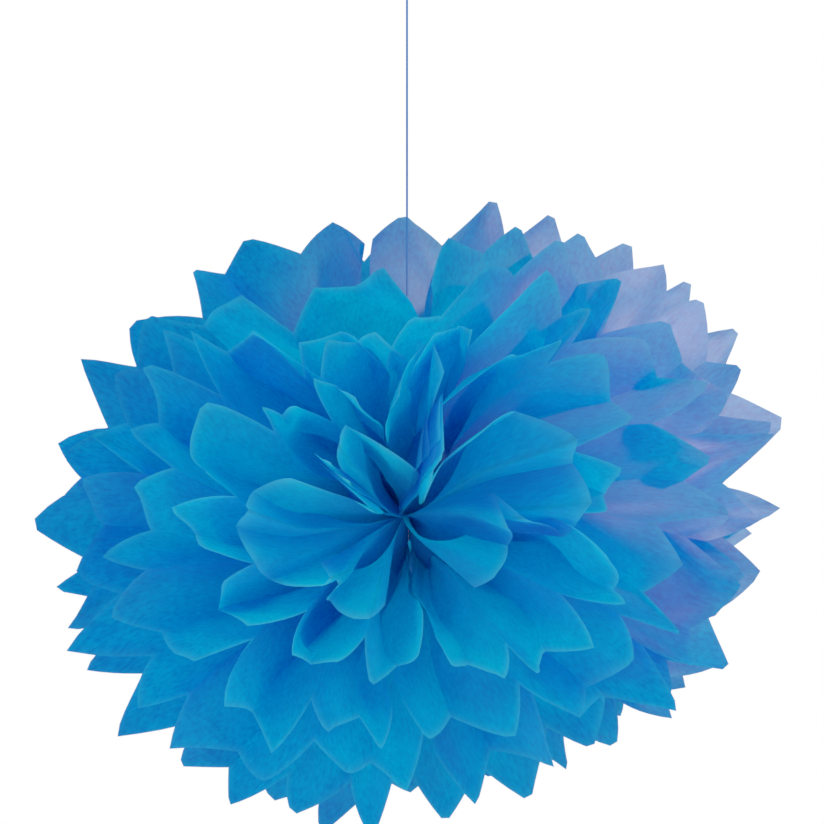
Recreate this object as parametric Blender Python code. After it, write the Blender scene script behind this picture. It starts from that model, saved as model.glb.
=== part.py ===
"""Tissue paper pom pom hung by a thread.

Ten sheets of tissue paper lie in a stack. The stack is folded to and fro into a narrow strip,
its two ends are cut to a point, and a wire is wound round its middle. Each half of each sheet
then opens as a fan, and the sheets are pulled apart, five to the front and five to the back,
until the fans close into a ball. A thread knotted to the wire carries the ball, and ends in a
loop at its top.

Metres, +Z up. The origin is the crown of the hanging loop, where a hook would carry it. The
strips lie along X, their folds fan out in the XZ plane, and the sheets lean towards -Y (front)
or +Y (back).
"""
import math

import bmesh
import bpy
import numpy as np

# Tissue sheets: one layer of paper for each entry, the front one first
LEAN_AT_SIDES = (72, 57, 41, 25, 9, -9, -25, -41, -57, -72)
LEAN_AT_TOP = (78, 69, 60, 51, 41, -14, -30, -45, -59, -72)
LEAN_AT_BOTTOM = (77, 66, 53, 39, 22, -18, -34, -48, -61, -73)
LEFT_BOTTOM_END = (-82, -93, -84, -92, -86, -92, -85, -93, -85, -91)
LEFT_TOP_END = (99, 84, 95, 86, 93, 84, 93, 85, 94, 86)
RIGHT_BOTTOM_END = (-72, -84, -94, -86, -91, -86, -93, -85, -93, -87)
RIGHT_TOP_END = (79, 94, 82, 92, 85, 94, 85, 93, 84, 92)

PANELS = 14                 # panels between folds, on each side of the wire
PANEL_WIDTH = 0.043
FOLD_REACH = 0.176          # wire to the rim, measured along a fold
FOLD_UNEVEN = 0.028         # share by which that length differs from fold to fold
TIP_REACH = 0.203           # wire to the point between two folds
TIP_UNEVEN = 0.045          # share by which that length differs from point to point
PEAK_SHIFT = 0.06           # the point stands this share of a panel to one side of its middle
EDGE_BOW = 0.12             # how much the cut edge bows out between fold and point
TURN_LOSS = 0.09            # share of the reach lost where the paper turns through a right angle
PAPER = 0.0003
MITRE_LIMIT = 1.5           # how much thicker the paper may be across a sharp fold
SHEET_PITCH = 0.0010        # from layer to layer under the wire
GATHER_LENGTH = 0.055       # the panels widen from the wire over about this length
NECK_LENGTH = 0.008
NECK_WIDTH = 0.005
TILT = 5.0                  # the strips hang a little askew, degrees
FAN_END = 88.0              # where the fans end close to the wire, degrees
LEAN_LIMIT = 89.0
LEAN_SOFT = 75.0            # leans beyond this one are pressed together under the limit
LEAN_LENGTH = 0.045         # the paper reaches its full lean this far from the wire
NECK_OPENS = 0.015          # from here the two fans draw together behind the wire
NECK_CLOSES = 0.065         # and from here they share one axis
NECK_FADE = 0.012           # the stacked panels turn into a fan over about this length

# Folds: how deep they stay and how unevenly they are spread
STEEPEST = 2.2              # half a fold's depth, at most, for each unit across a panel
FLATTEST = 0.22             # share of the panel width that a fold keeps as depth at least
WIDEST_SWING = 0.6          # half a fold's depth, at most, for each unit from the wire
END_HEIGHT = 0.12           # share of its depth that the fan's end fold keeps
HEIGHT_GAIN = 0.40          # and how much more of it each next fold has
LEAN_LOSS = 0.50            # share of it lost where the paper leans right over
MEAN_HEIGHT = 1.0
HEIGHT_UNEVEN = 0.20
SHARED_SAW = 0.35           # how unevenly the folds are spread at mid length in every sheet
MOST_SAW = 0.62             # and at most at the rim
END_SPREAD = 0.70           # each next fold follows this share of its fan end's move
FOLD_WANDER = 0.08          # shares of the angle between folds
SHEET_SHIFT = 0.40
RIM_WANDER = 0.22
CURL = 8.0                  # a petal's own lean at the rim, degrees
CURL_STARTS = 0.60
SHARED_SPREAD = (0.10, 0.60)    # shares of the reach where the folds move apart in all sheets
OWN_SPREAD = (0.55, 1.00)       # and in each sheet by itself

ROWS = (0.0, 0.05, 0.10, 0.16, 0.25, 0.40, 0.60, 0.82, 1.0)
POINTED_ROWS = 1            # the outermost rows also have a column in the middle of each panel

# Slow bends that all the layers share: amplitude, wavelength, the way it runs, the way it moves
# the paper, and its phase
BENDS = (
    (0.0080, 0.210, (1.0, 0.4, 0.3), (0.2, -0.5, 1.0), 0.7),
    (0.0065, 0.170, (-0.3, 1.0, 0.5), (1.0, 0.3, -0.4), 2.1),
    (0.0040, 0.130, (0.4, -0.3, 1.0), (-0.6, 1.0, 0.5), 4.0),
    (0.0018, 0.100, (0.8, 0.9, -0.4), (0.5, 0.2, 1.0), 1.3),
)
STIFF_RADIUS = 0.020        # no slow bend this close to the wire
FREE_RADIUS = 0.130         # the full slow bend beyond this

# How the ball hangs: a little flattened, and a little off its tie
FLATTEN = 0.935             # share of the ball's width left across its long direction
STRETCH = 1.025             # and its share along it
FLAT_DIRECTION = 28.0       # how far that long direction climbs to the right, degrees
OFF_CENTRE = (0.002, 0.0, 0.003)

# Tie, thread and loop
CLEARANCE = 0.0003
WIRE = 0.0009
WIRE_BEND = 0.0012
TAIL_LENGTH = 0.009
TAIL_TURNS = 2
TAIL_STEPS = 10             # for each turn
CORNER_STEPS = 4
THREAD = 0.0011
THREAD_LENGTH = 0.286       # from knot to knot
KNOT_WIDTH = 0.0042
KNOT_HEIGHT = 0.0040
KNOT_FLAT = 0.76            # share of the knot's height where the thread's ends meet it
LOOP_HEIGHT = 0.025
LOOP_WIDTH = 0.011
THREAD_STEPS = 54
LOOP_STEPS = 24

SHEETS = len(LEAN_AT_SIDES)
FOLDS = np.arange(PANELS + 1)
BUNDLE_DEPTH = (SHEETS - 1) * SHEET_PITCH + PAPER
WIRE_TOP = NECK_WIDTH / 2 + CLEARANCE + WIRE
TIE_KNOT_Z = WIRE_TOP + CLEARANCE + KNOT_HEIGHT / 2
THREAD_FOOT = TIE_KNOT_Z + KNOT_HEIGHT / 2 + CLEARANCE
THREAD_HEAD = THREAD_FOOT + THREAD_LENGTH
TOP_KNOT_Z = THREAD_HEAD + CLEARANCE + KNOT_HEIGHT / 2
LOOP_FOOT = TOP_KNOT_Z + KNOT_HEIGHT / 2 + CLEARANCE
HANG = LOOP_FOOT + LOOP_HEIGHT


def remove_objects():
    for item in list(bpy.data.objects):
        bpy.data.objects.remove(item)


def material(name, colour, roughness, metallic=0.0):
    made = bpy.data.materials.new(name)
    made.use_nodes = True
    shader = made.node_tree.nodes["Principled BSDF"]
    shader.inputs["Base Color"].default_value = (*colour, 1.0)
    shader.inputs["Roughness"].default_value = roughness
    shader.inputs["Metallic"].default_value = metallic
    return made


def add(name, data, finish):
    made = bpy.data.objects.new(name, data)
    made.location.z = -HANG
    made.data.materials.append(finish)
    bpy.context.scene.collection.objects.link(made)
    return made


def scatter(*key):
    """A fixed value from -1 to 1 for each set of whole numbers."""
    wave = math.sin(sum(n * w for n, w in zip(key, (12.9898, 78.233, 37.719)))) * 43758.5453
    return 2 * (wave - math.floor(wave)) - 1


def ease(x):
    x = np.clip(x, 0, 1)
    return x * x * (3 - 2 * x)


def between(x, limits):
    return ease((x - limits[0]) / (limits[1] - limits[0]))


def slow_bend(points):
    """Move points by the bends that all the layers share."""
    distance = np.linalg.norm(points, axis=-1)
    fade = between(distance, (STIFF_RADIUS, FREE_RADIUS))
    moved = points.copy()
    for amplitude, wavelength, along, towards, phase in BENDS:
        along = np.array(along) / np.linalg.norm(along)
        towards = np.array(towards) / np.linalg.norm(towards)
        swing = amplitude * fade * np.sin(2 * math.pi * (points @ along) / wavelength + phase)
        moved += swing[..., None] * towards
    return moved


def settle(points):
    """The ball hangs a little flattened and a little off its tie."""
    distance = np.linalg.norm(points, axis=-1)
    fade = between(distance, (STIFF_RADIUS, FREE_RADIUS))
    lie = math.radians(FLAT_DIRECTION)
    along = points[..., 0] * math.cos(lie) + points[..., 2] * math.sin(lie)
    across = points[..., 2] * math.cos(lie) - points[..., 0] * math.sin(lie)
    wider = (STRETCH - 1) * along
    flatter = (1 - FLATTEN) * across
    moved = points + fade[..., None] * np.array(OFF_CENTRE)
    moved[..., 0] += wider * math.cos(lie) + flatter * math.sin(lie)
    moved[..., 2] += wider * math.sin(lie) - flatter * math.cos(lie)
    return moved


def freedom(sheet):
    """How freely a sheet's rim strays: less where the sheets are pressed together."""
    return math.cos(math.radians(LEAN_AT_SIDES[sheet]))


def fan_ends(sheet, half):
    if half > 0:
        return RIGHT_BOTTOM_END[sheet], RIGHT_TOP_END[sheet]
    return LEFT_BOTTOM_END[sheet], LEFT_TOP_END[sheet]


def fold_bearings(sheet, half, across, along):
    """How far up from the side each place on a sheet lies, in degrees about the wire."""
    step = 2 * FAN_END / PANELS
    window = np.sin(np.pi * FOLDS / PANELS)
    saw = 0.5 * step * np.where(FOLDS % 2, -1, 1) * np.sqrt(window)
    wander = np.array([FOLD_WANDER * step * scatter(fold, half, 5) for fold in FOLDS]) * window
    rim_saw = min(MOST_SAW, 1 - math.cos(math.radians(LEAN_AT_SIDES[sheet])))
    shift = SHEET_SHIFT * step * scatter(sheet, half, 3) * window
    bottom, top = fan_ends(sheet, half)
    ends = (bottom + FAN_END) * END_SPREAD ** FOLDS
    ends = ends + (top - FAN_END) * END_SPREAD ** (PANELS - FOLDS)
    start = np.interp(across, FOLDS, np.linspace(-FAN_END, FAN_END, PANELS + 1))
    shared = np.interp(across, FOLDS, SHARED_SAW * saw + wander + ends)
    strays = np.array([scatter(fold, half, 300 + sheet) for fold in FOLDS])
    stray = RIM_WANDER * freedom(sheet) * step * window * strays
    own = np.interp(across, FOLDS, (rim_saw - SHARED_SAW) * saw + shift + stray)
    return start + shared * between(along, SHARED_SPREAD) + own * between(along, OWN_SPREAD)


def sheet_reach(sheet, half, across):
    """Length of the paper from the wire to the rim at a place across the folds."""
    panel = np.clip(np.floor(across), 0, PANELS - 1).astype(int)
    place = across - panel
    peak = 0.5 + np.where(panel % 2, PEAK_SHIFT, -PEAK_SHIFT)
    rise = np.where(place < peak, place / peak, (1 - place) / (1 - peak))
    tips = [1 + TIP_UNEVEN * scatter(sheet, half, 51 + n) for n in range(PANELS)]
    folds = [1 + FOLD_UNEVEN * scatter(sheet, half, 80 + n) for n in FOLDS]
    tip = TIP_REACH * np.array(tips)[panel]
    valley = FOLD_REACH * np.interp(across, FOLDS, folds)
    return valley + (tip - valley) * rise * (1 + EDGE_BOW * (1 - rise))


def pleat(half, across, length, lean):
    """How far the folds swing the paper from its mean lean, in degrees."""
    step = math.radians(2 * FAN_END / PANELS)
    width = PANEL_WIDTH * (1 - np.exp(-(length / GATHER_LENGTH) ** 2))
    span = length * np.cos(np.radians(lean)) * step
    depth = 0.5 * np.sqrt(np.maximum(width ** 2 - span ** 2, (FLATTEST * width) ** 2))
    depth = np.minimum(depth, STEEPEST * span)
    ratio = np.divide(depth, length, out=np.zeros_like(depth), where=length > 0)
    swing = np.degrees(np.arctan(np.minimum(ratio, WIDEST_SWING)))
    slack = np.clip(END_HEIGHT + HEIGHT_GAIN * np.minimum(FOLDS, PANELS - FOLDS), 0, 1)
    heights = [MEAN_HEIGHT + HEIGHT_UNEVEN * scatter(fold, half, 7) for fold in FOLDS]
    kept = 1 - LEAN_LOSS * np.abs(lean / 90) ** 4
    return swing * kept * np.interp(across, FOLDS, heights * slack * np.where(FOLDS % 2, -1, 1))


def press(lean):
    """Keep strongly leaning paper on its own side of the pole."""
    room = LEAN_LIMIT - LEAN_SOFT
    over = np.maximum(np.abs(lean) - LEAN_SOFT, 0)
    return np.sign(lean) * (np.minimum(np.abs(lean), LEAN_SOFT) + room * np.tanh(over / room))


def sheet_points(sheet, half, across, along):
    """Points of one half of a sheet.

    across counts folds from the bottom of the fan to its top, along runs from 0 under the wire
    to 1 at the rim, and half is 1 on the right and -1 on the left.
    """
    across, along = np.broadcast_arrays(np.asarray(across, float), np.asarray(along, float))
    length = along * sheet_reach(sheet, half, across)
    bearing = fold_bearings(sheet, half, across, along)
    end_lean = np.where(bearing > 0, LEAN_AT_TOP[sheet], LEAN_AT_BOTTOM[sheet])
    endness = np.abs(np.sin(np.radians(bearing))) ** 4
    length = length * (1 - TURN_LOSS * endness)
    mean = LEAN_AT_SIDES[sheet] + (end_lean - LEAN_AT_SIDES[sheet]) * endness
    curls = [CURL * freedom(sheet) * scatter(sheet, half, 140 + n) for n in range(PANELS)]
    curl = np.interp(across, FOLDS[:-1] + 0.5, curls) * between(along, (CURL_STARTS, 1))
    lean = press(mean * ease(length / LEAN_LENGTH) + pleat(half, across, length, mean) + curl)
    turn, rise = np.radians(bearing), np.radians(lean)
    out = length * np.cos(rise)
    neck = NECK_LENGTH / 2 * (1 - between(length, (NECK_OPENS, NECK_CLOSES)))
    stack = SHEET_PITCH * (sheet - (SHEETS - 1) / 2)
    points = np.stack([
        half * (neck + out * np.cos(turn)),
        stack - length * np.sin(rise),
        NECK_WIDTH * (across / PANELS - 0.5) * np.exp(-length / NECK_FADE) + out * np.sin(turn),
    ], -1)
    tilt = math.radians(TILT)
    turned = np.stack([
        points[..., 0] * math.cos(tilt) - points[..., 2] * math.sin(tilt),
        points[..., 1],
        points[..., 0] * math.sin(tilt) + points[..., 2] * math.cos(tilt),
    ], -1)
    return slow_bend(settle(turned))


def sheet_rows(sheet):
    """Rows of points from the left rim, through the wire, to the right rim."""
    rows = []
    for half in (-1, 1):
        fan = []
        for count, along in enumerate(ROWS):
            across = FOLDS
            if count >= len(ROWS) - POINTED_ROWS:
                peaks = FOLDS[:-1] + 0.5 + np.where(FOLDS[:-1] % 2, PEAK_SHIFT, -PEAK_SHIFT)
                across = np.sort(np.concatenate([FOLDS, peaks]))
            fan.append(sheet_points(sheet, half, across, along))
        rows += fan[::-1] if half < 0 else fan
    return rows


def row_faces(inner, outer):
    """Panel and triangle pairs between two rows, where the second may have mid-panel points."""
    found = []
    for panel in range(PANELS):
        if len(inner) == len(outer):
            width = (len(inner) - 1) // PANELS
            for place in range(panel * width, (panel + 1) * width):
                found.append((panel, (inner[place], inner[place + 1], outer[place + 1])))
                found.append((panel, (inner[place], outer[place + 1], outer[place])))
        else:
            left, middle, right = outer[2 * panel:2 * panel + 3]
            found.append((panel, (inner[panel], middle, left)))
            found.append((panel, (inner[panel], inner[panel + 1], middle)))
            found.append((panel, (inner[panel + 1], right, middle)))
    return found


def skin_steps(points, faces, panels):
    """How far each point of the paper's middle lies from its two skins.

    A point on a fold has one panel on each side, and its step leaves both of them.
    """
    corners = points[np.array(faces)]
    normals = np.cross(corners[:, 1] - corners[:, 0], corners[:, 2] - corners[:, 0])
    normals /= np.linalg.norm(normals, axis=1)[:, None]
    sides = {}
    for face, normal, panel in zip(faces, normals, panels):
        for point in face:
            sides.setdefault((point, panel), []).append(normal)
    steps = np.zeros_like(points)
    for (point, panel), found in sides.items():
        mean = np.mean(found, axis=0)
        steps[point] += mean / np.linalg.norm(mean)
    lengths = np.linalg.norm(steps, axis=1)
    meeting = np.zeros(len(points))
    for point, panel in sides:
        meeting[point] += 1
    stretch = np.minimum(meeting / lengths, MITRE_LIMIT)
    return steps / lengths[:, None] * (stretch * PAPER / 2)[:, None]


def tissue_sheet(sheet, finish):
    rows = sheet_rows(sheet)
    numbers = []
    points = []
    for row in rows:
        numbers.append(list(range(len(points), len(points) + len(row))))
        points += list(row)
    points = np.array(points)
    faces = []
    panels = []
    for near, far in zip(numbers, numbers[1:]):
        shrinks = len(near) > len(far)
        for panel, face in row_faces(far, near) if shrinks else row_faces(near, far):
            faces.append(face[::-1] if shrinks else face)
            panels.append(panel)
    steps = skin_steps(points, faces, panels)
    edge = [row[0] for row in numbers] + numbers[-1][1:]
    edge += [row[-1] for row in numbers[-2::-1]] + numbers[0][-2:0:-1]
    count = len(points)
    solid = faces + [tuple(point + count for point in face[::-1]) for face in faces]
    for start, end in zip(edge, edge[1:] + edge[:1]):
        solid.append((start, end, end + count))
        solid.append((start, end + count, start + count))
    mesh = bpy.data.meshes.new("sheet_mesh")
    mesh.from_pydata(np.concatenate([points + steps, points - steps]).tolist(), [], solid)
    mesh.validate()
    return add(f"tissue_sheet_{sheet + 1:02d}", mesh, finish)


def tube(name, points, diameter, finish):
    curve = bpy.data.curves.new(name, "CURVE")
    curve.dimensions = "3D"
    curve.bevel_depth = diameter / 2
    curve.bevel_resolution = 2
    curve.use_fill_caps = True
    spline = curve.splines.new("POLY")
    spline.points.add(len(points) - 1)
    for place, point in zip(spline.points, points):
        place.co = (*point, 1.0)
    return add(name, curve, finish)


def wire_ring():
    """One turn of wire round the bundle, from below it and back to below it."""
    depth = BUNDLE_DEPTH / 2 + CLEARANCE + WIRE / 2 - WIRE_BEND
    width = NECK_WIDTH / 2 + CLEARANCE + WIRE / 2 - WIRE_BEND
    points = []
    for quarter, (front, up) in enumerate(((-1, -1), (-1, 1), (1, 1), (1, -1))):
        for step in range(CORNER_STEPS + 1):
            angle = math.radians(270 - 90 * (quarter + step / CORNER_STEPS))
            points.append((front * depth + WIRE_BEND * math.cos(angle),
                           up * width + WIRE_BEND * math.sin(angle)))
    return points


def centre_tie(finish):
    """A wire wound once round the bundle, its ends twisted together below it."""
    apart = (WIRE + CLEARANCE) / 2
    twist_top = NECK_WIDTH / 2 + CLEARANCE + WIRE / 2 + WIRE_BEND
    steps = TAIL_STEPS * TAIL_TURNS

    def strand(side, step):
        angle = 2 * math.pi * TAIL_TURNS * step / steps
        drop = TAIL_LENGTH * step / steps
        return side * apart * math.cos(angle), side * apart * math.sin(angle), -twist_top - drop

    ring = wire_ring()
    points = [strand(-1, step) for step in range(steps, -1, -1)]
    for count, (y, z) in enumerate(ring):
        points.append((apart * (2 * (count + 0.5) / len(ring) - 1), y, z))
    points += [strand(1, step) for step in range(steps + 1)]
    return tube("centre_tie", points, WIRE, finish)


def knot(name, z, finish):
    """The outer shape of an overhand knot."""
    mesh = bpy.data.meshes.new(name)
    shape = bmesh.new()
    bmesh.ops.create_uvsphere(shape, u_segments=12, v_segments=8, radius=1.0)
    for vertex in shape.verts:
        vertex.co.x *= KNOT_WIDTH / 2
        vertex.co.y *= KNOT_WIDTH / 2
        vertex.co.z = max(-KNOT_FLAT, min(KNOT_FLAT, vertex.co.z)) / KNOT_FLAT * KNOT_HEIGHT / 2
    shape.to_mesh(mesh)
    shape.free()
    mesh.shade_smooth()
    made = add(name, mesh, finish)
    made.location.z += z
    return made


def hanging_thread(finish):
    heights = np.linspace(THREAD_FOOT, THREAD_HEAD, THREAD_STEPS + 1)
    points = [(0.0, 0.0, height) for height in heights]
    return tube("hanging_thread", points, THREAD, finish)


def hanging_loop(finish):
    """A bight of thread whose two ends go into the top knot."""
    leg = (THREAD + CLEARANCE) / 2
    points = []
    for share in np.linspace(-1, 1, LOOP_STEPS + 1):
        x = leg * share + (LOOP_WIDTH / 2 - leg / 2) * math.sin(math.pi * share)
        z = (LOOP_HEIGHT - THREAD / 2) * math.cos(math.pi * share / 2)
        points.append((x, 0.0, LOOP_FOOT + z))
    return tube("hanging_loop", points, THREAD, finish)


def main():
    remove_objects()
    tissue = material("tissue_paper", (0.004, 0.21, 0.50), 0.85)
    string = material("thread", (0.0, 0.20, 0.48), 0.7)
    wire = material("tie_wire", (0.55, 0.56, 0.58), 0.35, 1.0)
    for sheet in range(SHEETS):
        tissue_sheet(sheet, tissue)
    centre_tie(wire)
    knot("tie_knot", TIE_KNOT_Z, string)
    hanging_thread(string)
    knot("top_knot", TOP_KNOT_Z, string)
    hanging_loop(string)


main()
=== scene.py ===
"""Looks of the tissue paper pom pom: fine pleated sheets, thread, tie, studio and camera."""
import math

import bpy
import numpy as np
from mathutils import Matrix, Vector


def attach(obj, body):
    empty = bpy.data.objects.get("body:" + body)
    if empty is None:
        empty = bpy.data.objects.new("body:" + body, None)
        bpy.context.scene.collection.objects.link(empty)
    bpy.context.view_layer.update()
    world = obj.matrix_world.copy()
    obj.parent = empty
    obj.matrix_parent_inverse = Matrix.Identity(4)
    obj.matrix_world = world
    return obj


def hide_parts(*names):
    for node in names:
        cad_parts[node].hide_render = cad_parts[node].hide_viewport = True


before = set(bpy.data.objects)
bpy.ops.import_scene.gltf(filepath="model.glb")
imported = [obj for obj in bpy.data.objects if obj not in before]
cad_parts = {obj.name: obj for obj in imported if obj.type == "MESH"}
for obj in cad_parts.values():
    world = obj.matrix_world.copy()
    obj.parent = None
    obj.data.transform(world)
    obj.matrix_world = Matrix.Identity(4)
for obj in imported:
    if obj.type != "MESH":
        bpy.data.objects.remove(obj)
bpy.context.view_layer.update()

# The sheets' form. The formulas are those of the part's source. A few values differ, because thin
# paper folds deeper, and closer to the wire, than the solids can.
LEAN_AT_SIDES = (72, 57, 41, 25, 9, -9, -25, -41, -57, -72)
LEAN_AT_TOP = (78, 69, 60, 51, 41, -14, -30, -45, -59, -72)
LEAN_AT_BOTTOM = (77, 66, 53, 39, 22, -18, -34, -48, -61, -73)
LEFT_BOTTOM_END = (-82, -93, -84, -92, -86, -92, -85, -93, -85, -91)
LEFT_TOP_END = (99, 84, 95, 86, 93, 84, 93, 85, 94, 86)
RIGHT_BOTTOM_END = (-72, -84, -94, -86, -91, -86, -93, -85, -93, -87)
RIGHT_TOP_END = (79, 94, 82, 92, 85, 94, 85, 93, 84, 92)
PANELS = 14
PANEL_WIDTH = 0.043
FLAT_PANEL = 0.040              # width of a panel in the flat sheet
FOLD_REACH = 0.176
FOLD_UNEVEN = 0.028
TIP_REACH = 0.203
TIP_UNEVEN = 0.045
PEAK_SHIFT = 0.06
PEAK_STRAY = 0.13               # how far each petal's point strays across it, in panels
RIM_STRAY = 5.0                 # how far each fold leans from its place at the rim, degrees
EDGE_BOW = 0.05
TURN_LOSS = 0.09
SHEET_PITCH = 0.0010
GATHER_LENGTH = 0.035
NECK_LENGTH = 0.008
NECK_WIDTH = 0.005
TILT = 5.0
FAN_END = 88.0
LEAN_LIMIT = 89.0
LEAN_SOFT = 76.0
LEAN_LENGTH = 0.045
NECK_OPENS = 0.015
NECK_CLOSES = 0.065
NECK_FADE = 0.012
STEEPEST = 5.0
FLATTEST = 0.22
WIDEST_SWING = 1.5
END_HEIGHT = 0.12
HEIGHT_GAIN = 0.40
MEAN_HEIGHT = 1.0
HEIGHT_UNEVEN = 0.20
SHARED_SAW = 0.35
MOST_SAW = 0.62
END_SPREAD = 0.70
FOLD_WANDER = 0.08
RIM_WANDER = 0.22
SHEET_SHIFT = 0.40
CURL = 5.0
CURL_STARTS = 0.60
SHARED_SPREAD = (0.10, 0.60)
OWN_SPREAD = (0.55, 1.00)
POLE_POWER = 4                  # how closely the leans at top and bottom keep to the poles
# Of each bend: depth and length of its wave in metres, which way it runs and sways, and its phase
BENDS = (
    (0.0080, 0.210, (1.0, 0.4, 0.3), (0.2, -0.5, 1.0), 0.7),
    (0.0065, 0.170, (-0.3, 1.0, 0.5), (1.0, 0.3, -0.4), 2.1),
    (0.0040, 0.130, (0.4, -0.3, 1.0), (-0.6, 1.0, 0.5), 4.0),
    (0.0018, 0.100, (0.8, 0.9, -0.4), (0.5, 0.2, 1.0), 1.3),
    (0.0022, 0.062, (0.3, -0.8, 0.6), (1.0, 0.4, 0.5), 0.4),
    (0.0016, 0.045, (-0.9, 0.2, 0.7), (0.3, 1.0, -0.5), 5.1),
)
# The foremost sheet keeps its pleats closed up along the ball's axis, and flares near its rim
# into the petals in the middle of the ball. Its rim, from the bottom of each fan to its top: folds
# counted from the bottom, bearing in degrees, and distance from the ball's axis in metres.
FRONT_RIGHT = (
    (0.0, -55, 0.042), (0.5, -41, 0.042), (1.0, -27, 0.045), (1.5, -11, 0.044), (2.0, 4, 0.044),
    (2.5, -11, 0.059), (3.0, -20, 0.076), (3.5, -6, 0.082), (4.0, 8, 0.078), (4.5, 22, 0.072),
    (5.0, 35, 0.067), (5.5, 49, 0.064), (6.0, 55, 0.043), (6.5, 67, 0.024), (7.0, 66, 0.060),
    (8.0, 68, 0.024), (9.0, 67, 0.064), (10.0, 69, 0.024), (11.0, 68, 0.064), (12.0, 71, 0.024),
    (13.0, 70, 0.060), (14.0, 76, 0.028),
)
FRONT_LEFT = (
    (0.0, -67, 0.041), (0.4, -51, 0.048), (0.8, -43, 0.052), (1.2, -33, 0.052), (1.6, -24, 0.051),
    (2.0, -14, 0.051), (2.5, -24, 0.060), (3.0, -18, 0.074), (3.5, -6, 0.084), (4.0, 4, 0.088),
    (4.5, 10, 0.086), (5.0, 18, 0.075), (5.5, 27, 0.064), (6.0, 36, 0.036), (6.5, 43, 0.026),
    (7.0, 45, 0.060), (8.0, 48, 0.026), (9.0, 47, 0.062), (10.0, 51, 0.038), (10.5, 60, 0.052),
    (11.0, 70, 0.060), (11.5, 84, 0.045), (12.0, 113, 0.024), (13.0, 110, 0.060),
    (14.0, 116, 0.026),
)
FRONT_CLOSED = 91.0             # its inner folds pass the axis a little, so that no pit is left
FRONT_END = 97.0                # its two fans overlap where they are closed
FRONT_FLARES = 0.60             # share of its length where it starts to flare
FRONT_ROUND = 1.1               # how softly it starts
FRONT_SPREAD = (0.20, 0.80)     # where its folds turn from their closed bearing to that at its rim
FRONT_STRAY = 0.3               # its share of the strays and dents of the other sheets
FRONT_LEAST_REACH = 0.010       # its folds close up no nearer to the wire than this
TUCK = 42.0                     # the most that a fold lies behind its neighbours, degrees
FLATTEN = 0.935                 # share of the ball's width left across its long direction
STRETCH = 1.010                 # and its share along it
FLAT_DIRECTION = 28.0           # how far that long direction climbs to the right, degrees
OFF_CENTRE = (0.002, 0.0, 0.0045)  # of the ball from its tie
STIFF_RADIUS = 0.020
FREE_RADIUS = 0.130

# Tie, thread and loop, as in the part's source
CLEARANCE = 0.0003
WIRE = 0.0009
THREAD = 0.0011
THREAD_LENGTH = 0.286
KNOT_HEIGHT = 0.0040
LOOP_HEIGHT = 0.025
LOOP_WIDTH = 0.011

SHEETS = len(LEAN_AT_SIDES)
FOLDS = np.arange(PANELS + 1)
WIRE_TOP = NECK_WIDTH / 2 + CLEARANCE + WIRE
TIE_KNOT_Z = WIRE_TOP + CLEARANCE + KNOT_HEIGHT / 2
THREAD_FOOT = TIE_KNOT_Z + KNOT_HEIGHT / 2 + CLEARANCE
THREAD_HEAD = THREAD_FOOT + THREAD_LENGTH
TOP_KNOT_Z = THREAD_HEAD + CLEARANCE + KNOT_HEIGHT / 2
LOOP_FOOT = TOP_KNOT_Z + KNOT_HEIGHT / 2 + CLEARANCE
HANG = LOOP_FOOT + LOOP_HEIGHT

# The fine surface
PANEL_COLUMNS = 12
COLUMN_DRAW = 0.40              # how much closer the columns lie by the folds
HALF_ROWS = 44
ROW_POWER = 0.9                 # below 1, the rows lie closer together towards the rim
CRUMPLE = 1.9                   # dents of the free paper, degrees
# Of each dent: its share, and how fast it goes across the folds and along the paper
DENTS = ((1.0, 1.6, 2.3), (0.5, 2.9, 4.1), (0.33, 4.7, 7.3), (0.13, 8.3, 1.7))
DENT_DRIFT = 1.5
DENT_SPREAD = (0.35, 1.00)
GATHER_RIPPLE = 0.0028          # ripples where the paper is drawn together at the wire
RIPPLES_PER_PANEL = 2.0
RIPPLE_DRIFT = 3.0
RIPPLE_NEAREST = 0.012          # no steeper nearer to the wire than this
RIPPLE_STARTS = 0.020
RIPPLE_ENDS = (0.35, 0.75)
THREAD_STEPS = 80
LOOP_STEPS = 60

# Looks
PAINTED_LIGHT_RADIUS = 0.130            # painted light: round the ball's two poles the paper is painted paler, up to about here, to lift the shade in the ball's deep middle
# Paper colours where its fibres lie dense and where they lie thin: of its face, and of the light
# that comes through it
FACE = ((0.000, 0.064, 0.430), (0.000, 0.190, 0.810))
GLOW = ((0.000, 0.160, 0.810), (0.000, 0.395, 0.990))
# Painted light: paler tones of face and glow round the poles, where the deep middle would lie in
# shade
PAINTED_LIGHT_FACE = ((0.000, 0.320, 0.720), (0.000, 0.470, 0.920))
PAINTED_LIGHT_GLOW = ((0.000, 0.590, 0.890), (0.000, 0.800, 0.990))
RIM_HIGHLIGHT_BAND = (0.970, 1.0)              # painted highlight: the cut rims of the inner petals are painted paler, as if they catch the light
RIM_HIGHLIGHT_FACE = (0.040, 0.390, 0.820)
RIM_HIGHLIGHT_GLOW = (0.040, 0.690, 0.940)
TONE_STOPS = (0.38, 0.62)       # where the ramp between the two paper colours starts and ends
THROUGH_SHARE = 0.85            # share of the paper's look that is light coming through it
FIBRE_SCALE = 500.0
FIBRE_STRETCH = (0.45, 1.0, 1.0)
CLOUD_SCALE = 60.0
CLOUD_SHARE = 0.30
PAPER_BUMP = 0.0010
THREAD_DARK = (0.000, 0.140, 0.520)
THREAD_PALE = (0.000, 0.150, 0.540)
STRIPE_SCALE = 320.0
STRIPE_TURN = 35.0              # degrees
WIRE_DARK = (0.42, 0.43, 0.45)
WIRE_PALE = (0.62, 0.63, 0.65)
SCRATCH_SCALE = 1800.0
FLOOR_COLOUR = (0.9, 0.9, 0.9)

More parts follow.
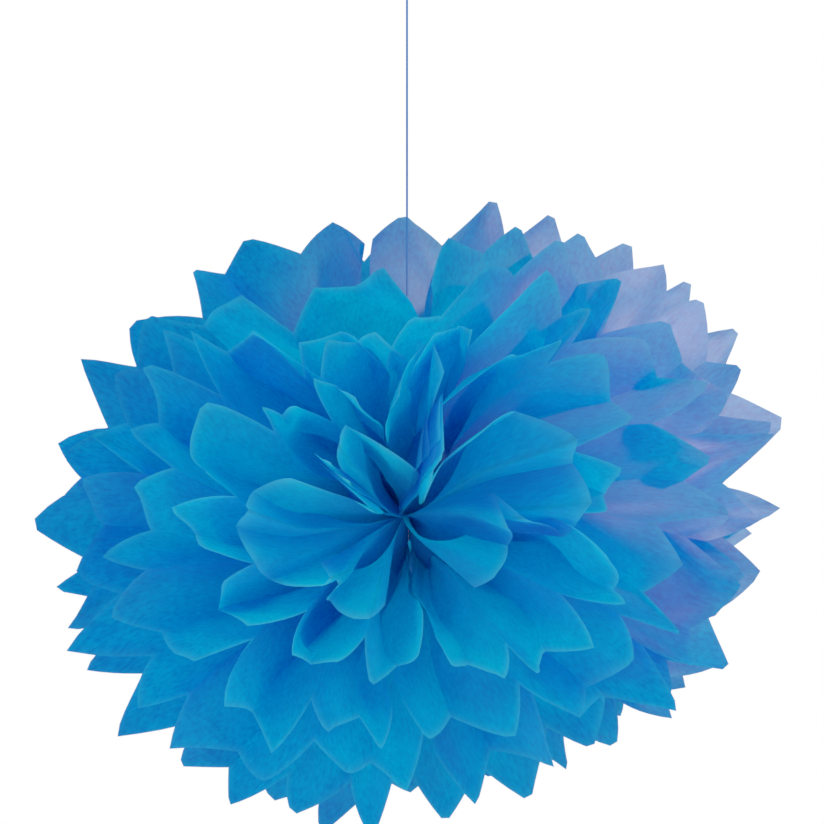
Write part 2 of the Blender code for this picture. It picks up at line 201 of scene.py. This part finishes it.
# Camera and studio
PHOTO_SIDE = 824
PHOTO_SCALE = 0.406 / 740       # metres for each pixel of the photograph, at the ball's middle
CAMERA_DISTANCE = 1.8
TIE_PIXEL = (407.0, 515.0)
SENSOR = 36.0
WHITE = (1.0, 1.0, 1.0)
FRONT_LIGHT = 1.02
BACK_LIGHT = 0.36
LIGHT_FADES = (-1.0, 0.5)       # from straight ahead of the ball to well behind it
VEIL_PLACE = (0.9, -1.2, 0.5)   # from the tie
VEIL_AIM = (0.148, 0.0, 0.080)  # from the tie
VEIL_WIDTH = 13.5               # degrees
VEIL_SOFTNESS = 0.03
VEIL_ENERGY = 2000.0
VIEW_GAMMA = 1.5
PAPER_BOUNCES = 12              # enough for the light to pass through all the layers
MOST_BOUNCES = 16
FLOOR_DROP = 0.75               # from the tie
FLOOR_HALF = 3.0                # half of its side


def ease(x):
    """A smooth step from 0 to 1."""
    x = np.clip(x, 0, 1)
    return x * x * (3 - 2 * x)


def between(x, limits):
    """A smooth step from one limit to the other."""
    return ease((x - limits[0]) / (limits[1] - limits[0]))


def scatter(*key):
    """A fixed value from -1 to 1 for each set of whole numbers."""
    wave = math.sin(sum(n * w for n, w in zip(key, (12.9898, 78.233, 37.719)))) * 43758.5453
    return 2 * (wave - math.floor(wave)) - 1


def make_camera():
    """The photograph's view: level, from the front, with the tie at its place in the picture."""
    data = bpy.data.cameras.new("camera")
    data.sensor_width = SENSOR
    data.lens = SENSOR * CAMERA_DISTANCE / (PHOTO_SIDE * PHOTO_SCALE)
    camera = bpy.data.objects.new("camera", data)
    x = (PHOTO_SIDE / 2 - TIE_PIXEL[0]) * PHOTO_SCALE
    z = -HANG + (TIE_PIXEL[1] - PHOTO_SIDE / 2) * PHOTO_SCALE
    camera.location = (x, -CAMERA_DISTANCE, z)
    camera.rotation_euler = (math.pi / 2, 0, 0)
    bpy.context.scene.collection.objects.link(camera)
    bpy.context.scene.camera = camera


def link(name, data, finish):
    """An object of these data in the scene, with one material."""
    made = bpy.data.objects.new(name, data)
    made.data.materials.append(finish)
    bpy.context.scene.collection.objects.link(made)
    return made


def slow_bend(points):
    """Move points by the bends that all the layers share."""
    distance = np.linalg.norm(points, axis=-1)
    fade = between(distance, (STIFF_RADIUS, FREE_RADIUS))
    moved = points.copy()
    for amplitude, wavelength, along, towards, phase in BENDS:
        along = np.array(along) / np.linalg.norm(along)
        towards = np.array(towards) / np.linalg.norm(towards)
        swing = amplitude * fade * np.sin(2 * math.pi * (points @ along) / wavelength + phase)
        moved += swing[..., None] * towards
    return moved


def settle(points):
    """The ball sits a little flattened and a little off its tie."""
    distance = np.linalg.norm(points, axis=-1)
    fade = between(distance, (STIFF_RADIUS, FREE_RADIUS))
    lie = math.radians(FLAT_DIRECTION)
    along = points[..., 0] * math.cos(lie) + points[..., 2] * math.sin(lie)
    across = points[..., 2] * math.cos(lie) - points[..., 0] * math.sin(lie)
    moved = points + fade[..., None] * np.array(OFF_CENTRE)
    moved[..., 0] += (STRETCH - 1) * along * math.cos(lie) + (1 - FLATTEN) * across * math.sin(lie)
    moved[..., 2] += (STRETCH - 1) * along * math.sin(lie) - (1 - FLATTEN) * across * math.cos(lie)
    return moved


def fan_ends(sheet, half):
    """Bearings of the bottom and the top end of a fan, in degrees."""
    if half > 0:
        return RIGHT_BOTTOM_END[sheet], RIGHT_TOP_END[sheet]
    return LEFT_BOTTOM_END[sheet], LEFT_TOP_END[sheet]


def fold_bearings(sheet, half, across, along):
    """How far up from the side each place on a sheet lies, in degrees about the wire."""
    step = 2 * FAN_END / PANELS
    window = np.sin(np.pi * FOLDS / PANELS)
    saw = 0.5 * step * np.where(FOLDS % 2, -1, 1) * np.sqrt(window)
    wander = np.array([FOLD_WANDER * step * scatter(fold, half, 5) for fold in FOLDS]) * window
    rim_saw = min(MOST_SAW, 1 - math.cos(math.radians(LEAN_AT_SIDES[sheet])))
    shift = SHEET_SHIFT * step * scatter(sheet, half, 3) * window
    bottom, top = fan_ends(sheet, half)
    ends = (bottom + FAN_END) * END_SPREAD ** FOLDS
    ends = ends + (top - FAN_END) * END_SPREAD ** (PANELS - FOLDS)
    start = np.interp(across, FOLDS, np.linspace(-FAN_END, FAN_END, PANELS + 1))
    shared = np.interp(across, FOLDS, SHARED_SAW * saw + wander + ends)
    strays = np.array([RIM_WANDER * step * scatter(fold, half, 300 + sheet) for fold in FOLDS])
    own = np.interp(across, FOLDS, (rim_saw - SHARED_SAW) * saw + shift + strays * window)
    return start + shared * between(along, SHARED_SPREAD) + own * between(along, OWN_SPREAD)


def sheet_reach(sheet, half, across):
    """Length of the paper from the wire to the rim at a place across the folds."""
    panel = np.clip(np.floor(across), 0, PANELS - 1).astype(int)
    place = across - panel
    strays = [PEAK_STRAY * scatter(sheet, half, 400 + n) for n in range(PANELS)]
    peak = 0.5 + np.where(panel % 2, PEAK_SHIFT, -PEAK_SHIFT) + np.array(strays)[panel]
    rise = np.where(place < peak, place / peak, (1 - place) / (1 - peak))
    tips = [1 + TIP_UNEVEN * scatter(sheet, half, 51 + n) for n in range(PANELS)]
    folds = [1 + FOLD_UNEVEN * scatter(sheet, half, 80 + n) for n in FOLDS]
    tip = TIP_REACH * np.array(tips)[panel]
    valley = FOLD_REACH * np.interp(across, FOLDS, folds)
    return valley + (tip - valley) * rise * (1 + EDGE_BOW * (1 - rise))


def pleat(half, across, length, lean):
    """How far the folds swing the paper from its mean lean, in degrees."""
    step = math.radians(2 * FAN_END / PANELS)
    width = PANEL_WIDTH * (1 - np.exp(-(length / GATHER_LENGTH) ** 2))
    span = length * np.cos(np.radians(lean)) * step
    depth = 0.5 * np.sqrt(np.maximum(width ** 2 - span ** 2, (FLATTEST * width) ** 2))
    depth = np.minimum(depth, STEEPEST * span)
    ratio = np.divide(depth, length, out=np.zeros_like(depth), where=length > 0)
    swing = np.degrees(np.arctan(np.minimum(ratio, WIDEST_SWING)))
    slack = np.clip(END_HEIGHT + HEIGHT_GAIN * np.minimum(FOLDS, PANELS - FOLDS), 0, 1)
    heights = [MEAN_HEIGHT + HEIGHT_UNEVEN * scatter(fold, half, 7) for fold in FOLDS]
    return swing * np.interp(across, FOLDS, heights * slack * np.where(FOLDS % 2, -1, 1))


def press(lean):
    """Keep strongly leaning paper on its own side of the pole."""
    room = LEAN_LIMIT - LEAN_SOFT
    over = np.maximum(np.abs(lean) - LEAN_SOFT, 0)
    return np.sign(lean) * (np.minimum(np.abs(lean), LEAN_SOFT) + room * np.tanh(over / room))


def crumple(sheet, half, across, along):
    """Small dents, in degrees of lean, that each sheet has for itself."""
    dent = 0.0
    for count, (share, wide, deep) in enumerate(DENTS):
        turn = 2 * math.pi * scatter(sheet, half, 200 + count)
        drift = DENT_DRIFT * np.sin(deep * along + turn)
        wave = np.sin(wide * across + drift + turn) * np.sin(deep * along * 2 + turn)
        dent = dent + share * np.arcsin(wave)
    return dent * between(along, DENT_SPREAD)


def gather_ripple(sheet, half, across, along, length):
    """Ripples close to the wire, in degrees of lean, where the panels are drawn together."""
    drift = RIPPLE_DRIFT * np.sin(2.3 * across + sheet)
    turn = 2 * math.pi * RIPPLES_PER_PANEL * across + drift + half
    deep = np.degrees(GATHER_RIPPLE / np.maximum(length, RIPPLE_NEAREST))
    return deep * np.sin(turn) * ease(length / RIPPLE_STARTS) * (1 - between(along, RIPPLE_ENDS))


def front_sheet(half, across, along, length):
    """Bearing and lean of the foremost sheet, from its closed pleats to its flared rim."""
    folds, bearings, radii = np.array(FRONT_RIGHT if half > 0 else FRONT_LEFT).T
    reach = np.maximum(length, FRONT_LEAST_REACH)
    drawn = FLAT_PANEL * (1 - np.exp(-(reach / GATHER_LENGTH) ** 2))
    swing = np.minimum(np.degrees(drawn / reach), TUCK)
    closed = FRONT_CLOSED - swing * np.interp(across, FOLDS, FOLDS % 2)
    flared = np.degrees(np.arccos(np.interp(across, folds, radii) / sheet_reach(0, half, across)))
    start = np.interp(across, FOLDS, np.linspace(-FRONT_END, FRONT_END, PANELS + 1))
    bearing = start + (np.interp(across, folds, bearings) - start) * between(along, FRONT_SPREAD)
    share = np.clip((along - FRONT_FLARES) / (1 - FRONT_FLARES), 0, 1) ** FRONT_ROUND
    return bearing, closed + (flared - closed) * share


def sheet_points(sheet, half, across, along):
    """Points of one half of a sheet.

    across counts folds from the bottom of the fan to its top, along runs from 0 under the wire
    to 1 at the rim, and half is 1 on the right and -1 on the left.
    """
    across, along = np.broadcast_arrays(np.asarray(across, float), np.asarray(along, float))
    length = along * sheet_reach(sheet, half, across)
    bearing = fold_bearings(sheet, half, across, along)
    end_lean = np.where(bearing > 0, LEAN_AT_TOP[sheet], LEAN_AT_BOTTOM[sheet])
    endness = np.abs(np.sin(np.radians(bearing))) ** POLE_POWER
    length = length * (1 - TURN_LOSS * endness)
    mean = LEAN_AT_SIDES[sheet] + (end_lean - LEAN_AT_SIDES[sheet]) * endness
    curls = [CURL * scatter(sheet, half, 140 + n) for n in range(PANELS)]
    curl = np.interp(across, FOLDS[:-1] + 0.5, curls) * between(along, (CURL_STARTS, 1))
    strays = [RIM_STRAY * scatter(sheet, half, 500 + n) for n in FOLDS]
    own = curl + np.interp(across, FOLDS, strays) * between(along, OWN_SPREAD)
    own = own + CRUMPLE * crumple(sheet, half, across, along)
    own = own + gather_ripple(sheet, half, across, along, length)
    lean = press(mean * ease(length / LEAN_LENGTH) + pleat(half, across, length, mean) + own)
    if sheet == 0:
        bearing, front_lean = front_sheet(half, across, along, length)
        lean = (front_lean + FRONT_STRAY * own) * ease(length / LEAN_LENGTH)
    turn, rise = np.radians(bearing), np.radians(lean)
    out = length * np.cos(rise)
    neck = NECK_LENGTH / 2 * (1 - between(length, (NECK_OPENS, NECK_CLOSES)))
    stack = SHEET_PITCH * (sheet - (SHEETS - 1) / 2)
    points = np.stack([
        half * (neck + out * np.cos(turn)),
        stack - length * np.sin(rise),
        NECK_WIDTH * (across / PANELS - 0.5) * np.exp(-length / NECK_FADE) + out * np.sin(turn),
    ], -1)
    tilt = math.radians(TILT)
    turned = np.stack([
        points[..., 0] * math.cos(tilt) - points[..., 2] * math.sin(tilt),
        points[..., 1],
        points[..., 0] * math.sin(tilt) + points[..., 2] * math.cos(tilt),
    ], -1)
    return slow_bend(settle(turned))


def paint_attribute(mesh, name, values):
    """A value at each point of a mesh, for its material."""
    made = mesh.attributes.new(name, "FLOAT", "POINT")
    made.data.foreach_set("value", values.ravel().astype(np.float32))


def sheet_mesh(sheet):
    """One sheet from its left rim, through the wire, to its right rim."""
    place = np.linspace(0, 1, PANEL_COLUMNS + 1)[:-1]
    place = place - COLUMN_DRAW * np.sin(2 * math.pi * place) / (2 * math.pi)
    across = np.append((FOLDS[:-1, None] + place).ravel(), PANELS)
    along = np.linspace(0, 1, HALF_ROWS + 1) ** ROW_POWER
    halves = []
    flats = []
    for half in (-1, 1):
        halves.append(sheet_points(sheet, half, across[None, :], along[:, None]))
        reach = sheet_reach(sheet, half, across)[None, :] * along[:, None]
        wide = np.broadcast_to(across * FLAT_PANEL, reach.shape)
        flats.append(np.stack([half * reach, wide], -1))
    grid = np.concatenate([halves[0][:0:-1], halves[1]], 0)
    flat = np.concatenate([flats[0][:0:-1], flats[1]], 0)
    rows, columns = grid.shape[:2]
    points = grid.reshape(-1, 3).copy()
    points[:, 2] -= HANG
    numbers = np.arange(rows * columns).reshape(rows, columns)
    faces = np.stack([numbers[:-1, :-1], numbers[:-1, 1:], numbers[1:, 1:], numbers[1:, :-1]], -1)
    mesh = bpy.data.meshes.new(f"paper_{sheet + 1:02d}")
    mesh.from_pydata(points.tolist(), [], faces.reshape(-1, 4).tolist())
    mesh.shade_smooth()
    ends = np.empty(2 * len(mesh.edges), dtype=np.int32)
    mesh.edges.foreach_get("vertices", ends)
    first, last = ends.reshape(-1, 2).T % columns
    creases = mesh.attributes.new("sharp_edge", "BOOLEAN", "EDGE")
    creases.data.foreach_set("value", (first == last) & (first % PANEL_COLUMNS == 0))
    flat = flat.reshape(-1, 2)
    layer = mesh.uv_layers.new(name="flat")
    corners = np.empty(len(mesh.loops), dtype=np.int32)
    mesh.loops.foreach_get("vertex_index", corners)
    layer.data.foreach_set("uv", flat[corners].ravel())
    # Share of painted light round the poles, which lifts the shade in the ball's middle
    centre_painted_light = np.exp(-(np.hypot(grid[..., 0], grid[..., 2]) / PAINTED_LIGHT_RADIUS) ** 2)
    # Share of the painted highlight on the inner petals' cut rims
    rim = between(np.concatenate([along[:0:-1], along]), RIM_HIGHLIGHT_BAND)[:, None]
    paint_attribute(mesh, "centre_painted_light", centre_painted_light)
    paint_attribute(mesh, "rim", centre_painted_light * rim)
    return mesh, across


def tissue_sheet(sheet, finish):
    """One sheet as a mesh with its flat layout, in place of the frame's solid sheet."""
    mesh, across = sheet_mesh(sheet)
    piece = link(f"paper_sheet_{sheet + 1:02d}", mesh, finish)
    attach(piece, "root")
    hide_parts(f"tissue_sheet_{sheet + 1:02d}")


def node_maker(tree):
    """A function that adds a node to a tree and sets its inputs."""
    def add(kind, settings=None):
        node = tree.nodes.new("ShaderNode" + kind)
        for name, value in (settings or {}).items():
            node.inputs[name].default_value = value
        return node
    return add


def set_ramp(ramp, dark, pale, stops=(0.0, 1.0)):
    """Two colours of a ramp, and where they lie."""
    for element, stop, tone in zip(ramp.color_ramp.elements, stops, (dark, pale)):
        element.position = stop
        element.color = (*tone, 1)


def new_material(name):
    """An empty material with nodes, and its tree."""
    made = bpy.data.materials.new(name)
    made.use_nodes = True
    made.node_tree.nodes.clear()
    return made, made.node_tree


def tissue_material():
    """Tissue paper: fibres and clouds in two tones, seen on its face and against the light, with
    painted light round the poles and painted highlights on the inner petals' rims.
    """
    made, tree = new_material("tissue_paper")
    add = node_maker(tree)
    links = tree.links.new
    out = add("OutputMaterial")
    paper = add("BsdfPrincipled", {"Roughness": 0.75, "Specular IOR Level": 0.8})
    through = add("BsdfTranslucent")
    mix = add("MixShader", {0: THROUGH_SHARE})
    flat = add("UVMap")
    flat.uv_map = "flat"
    stretch = add("Mapping", {"Scale": FIBRE_STRETCH})
    fibres = add("TexNoise", {"Scale": FIBRE_SCALE, "Detail": 5.0, "Roughness": 0.65})
    clouds = add("TexNoise", {"Scale": CLOUD_SCALE, "Detail": 4.0})
    shade = add("Mix", {0: CLOUD_SHARE})
    shade.data_type = "FLOAT"
    bump = add("Bump", {"Strength": 0.5, "Distance": PAPER_BUMP})
    links(flat.outputs[0], stretch.inputs["Vector"])
    links(stretch.outputs[0], fibres.inputs["Vector"])
    links(flat.outputs[0], clouds.inputs["Vector"])
    links(fibres.outputs["Fac"], shade.inputs[2])
    links(clouds.outputs["Fac"], shade.inputs[3])
    centre_painted_light = add("Attribute")
    centre_painted_light.attribute_name = "centre_painted_light"
    rim = add("Attribute")
    rim.attribute_name = "rim"
    # Each colour is painted paler round the poles: painted light that lifts the shade in the
    # middle
    for plain, pale, rim_painted_highlight, socket in (
            (FACE, PAINTED_LIGHT_FACE, RIM_HIGHLIGHT_FACE, paper.inputs["Base Color"]),
            (GLOW, PAINTED_LIGHT_GLOW, RIM_HIGHLIGHT_GLOW, through.inputs["Color"])):
        tones = []
        for dark, light in (plain, pale):
            ramp = add("ValToRGB")
            set_ramp(ramp, dark, light, TONE_STOPS)
            links(shade.outputs[0], ramp.inputs[0])
            tones.append(ramp.outputs[0])
        colour, painted_lighter_tone = tones
        # Mix in the painted light round the poles, then the painted highlight at the inner petals'
        # rims
        for share in (centre_painted_light, rim):
            blend = add("Mix")
            blend.data_type = "RGBA"
            blend.inputs["B"].default_value = (*rim_painted_highlight, 1)
            if share is centre_painted_light:
                links(painted_lighter_tone, blend.inputs["B"])
            links(share.outputs["Fac"], blend.inputs["Factor"])
            links(colour, blend.inputs["A"])
            colour = blend.outputs["Result"]
        links(colour, socket)
    links(shade.outputs[0], bump.inputs["Height"])
    links(bump.outputs[0], paper.inputs["Normal"])
    links(paper.outputs[0], mix.inputs[1])
    links(through.outputs[0], mix.inputs[2])
    links(mix.outputs[0], out.inputs[0])
    return made


def thread_material():
    """Twisted two-ply thread: pale and dark stripes that wind round it."""
    made, tree = new_material("thread")
    add = node_maker(tree)
    links = tree.links.new
    out = add("OutputMaterial")
    fibre = add("BsdfPrincipled", {"Roughness": 0.7, "Specular IOR Level": 0.1})
    place = add("TexCoord")
    turn = add("Mapping", {"Rotation": (0.0, math.radians(STRIPE_TURN), 0.0)})
    stripes = add("TexWave", {"Scale": STRIPE_SCALE, "Distortion": 1.0})
    stripes.wave_type = "BANDS"
    stripes.bands_direction = "Z"
    tint = add("ValToRGB")
    set_ramp(tint, THREAD_DARK, THREAD_PALE)
    bump = add("Bump", {"Strength": 0.1, "Distance": 0.0002})
    links(place.outputs["Object"], turn.inputs["Vector"])
    links(turn.outputs[0], stripes.inputs["Vector"])
    links(stripes.outputs["Color"], tint.inputs[0])
    links(tint.outputs[0], fibre.inputs["Base Color"])
    links(stripes.outputs["Color"], bump.inputs["Height"])
    links(bump.outputs[0], fibre.inputs["Normal"])
    links(fibre.outputs[0], out.inputs[0])
    return made


def wire_material():
    """Bright drawn wire with fine scratches along it."""
    made, tree = new_material("tie_wire")
    add = node_maker(tree)
    links = tree.links.new
    out = add("OutputMaterial")
    metal = add("BsdfPrincipled", {"Metallic": 1.0})
    place = add("TexCoord")
    marks = add("TexNoise", {"Scale": SCRATCH_SCALE, "Detail": 3.0})
    rough = add("MapRange", {"To Min": 0.25, "To Max": 0.5})
    tint = add("ValToRGB")
    set_ramp(tint, WIRE_DARK, WIRE_PALE)
    links(place.outputs["Object"], marks.inputs["Vector"])
    links(marks.outputs["Fac"], rough.inputs["Value"])
    links(rough.outputs[0], metal.inputs["Roughness"])
    links(marks.outputs["Fac"], tint.inputs[0])
    links(tint.outputs[0], metal.inputs["Base Color"])
    links(metal.outputs[0], out.inputs[0])
    return made


def cord_curve(name, points, finish):
    """A round cord through these points."""
    curve = bpy.data.curves.new(name, "CURVE")
    curve.dimensions = "3D"
    curve.bevel_depth = THREAD / 2
    curve.bevel_resolution = 4
    curve.use_fill_caps = True
    spline = curve.splines.new("POLY")
    spline.points.add(len(points) - 1)
    for place, point in zip(spline.points, points):
        place.co = (*point, 1.0)
    return link(name, curve, finish)


def thread_pieces(finish):
    """The taut thread, and the loop above its upper knot."""
    heights = np.linspace(THREAD_FOOT, THREAD_HEAD, THREAD_STEPS + 1) - HANG
    thread = cord_curve("taut_thread", [(0.0, 0.0, height) for height in heights], finish)
    leg = (THREAD + CLEARANCE) / 2
    bight = []
    for share in np.linspace(-1, 1, LOOP_STEPS + 1):
        x = leg * share + (LOOP_WIDTH / 2 - leg / 2) * math.sin(math.pi * share)
        z = (LOOP_HEIGHT - THREAD / 2) * math.cos(math.pi * share / 2)
        bight.append((x, 0.0, LOOP_FOOT + z - HANG))
    loop = cord_curve("thread_loop", bight, finish)
    for piece, node in ((thread, "hanging_thread"), (loop, "hanging_loop")):
        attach(piece, "root")
        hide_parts(node)


def gloss_spot(name, place, aim):
    """A soft spot that only shows as gloss on the paper."""
    data = bpy.data.lights.new(name, "SPOT")
    data.spot_size = math.radians(VEIL_WIDTH)
    data.spot_blend = 1.0
    data.shadow_soft_size = VEIL_SOFTNESS
    data.energy = VEIL_ENERGY
    lamp = bpy.data.objects.new(name, data)
    lamp.location = place
    lamp.rotation_euler = (Vector(aim) - Vector(place)).to_track_quat("-Z", "Y").to_euler()
    lamp.visible_diffuse = False
    lamp.visible_transmission = False
    bpy.context.scene.collection.objects.link(lamp)


def studio():
    """White all round, brightest from the front, and a sheen from the upper right."""
    scene = bpy.context.scene
    world = bpy.data.worlds.new("studio")
    scene.world = world
    world.use_nodes = True
    world.cycles_visibility.glossy = False
    tree = world.node_tree
    tree.nodes.clear()
    add = node_maker(tree)
    links = tree.links.new
    out = add("OutputWorld")
    seen = add("Background", {0: (*WHITE, 1)})
    light = add("Background", {0: (*WHITE, 1)})
    path = add("LightPath")
    place = add("TexCoord")
    split = add("SeparateXYZ")
    front = add("MapRange", {"From Min": LIGHT_FADES[0], "From Max": LIGHT_FADES[1],
                             "To Min": FRONT_LIGHT, "To Max": BACK_LIGHT})
    mix = add("MixShader")
    links(place.outputs["Generated"], split.inputs[0])
    links(split.outputs["Y"], front.inputs["Value"])
    links(front.outputs[0], light.inputs[1])
    links(path.outputs["Is Camera Ray"], mix.inputs[0])
    links(light.outputs[0], mix.inputs[1])
    links(seen.outputs[0], mix.inputs[2])
    links(mix.outputs[0], out.inputs[0])
    tie = Vector((0.0, 0.0, -HANG))
    gloss_spot("veil", tie + Vector(VEIL_PLACE), tie + Vector(VEIL_AIM))
    scene.view_settings.view_transform = "Standard"
    scene.view_settings.gamma = VIEW_GAMMA
    scene.cycles.diffuse_bounces = PAPER_BOUNCES
    scene.cycles.transmission_bounces = PAPER_BOUNCES
    scene.cycles.max_bounces = MOST_BOUNCES


def floor():
    """A plain pale floor, below the camera's view."""
    side, z = FLOOR_HALF, -HANG - FLOOR_DROP
    corners = [(-side, -side, z), (side, -side, z), (side, side, z), (-side, side, z)]
    mesh = bpy.data.meshes.new("floor")
    mesh.from_pydata(corners, [], [(0, 1, 2, 3)])
    finish = bpy.data.materials.new("floor")
    finish.use_nodes = True
    surface = finish.node_tree.nodes["Principled BSDF"]
    surface.inputs["Base Color"].default_value = (*FLOOR_COLOUR, 1)
    surface.inputs["Roughness"].default_value = 0.9
    link("floor", mesh, finish)


def dress(node, finish):
    """Give one of the frame's solids this material."""
    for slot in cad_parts[node].material_slots:
        slot.material = finish


def main():
    make_camera()
    string = thread_material()
    thread_pieces(string)
    tissue = tissue_material()
    for sheet in range(SHEETS):
        tissue_sheet(sheet, tissue)
    dress("tie_knot", string)
    dress("top_knot", string)
    dress("centre_tie", wire_material())
    floor()
    studio()


main()
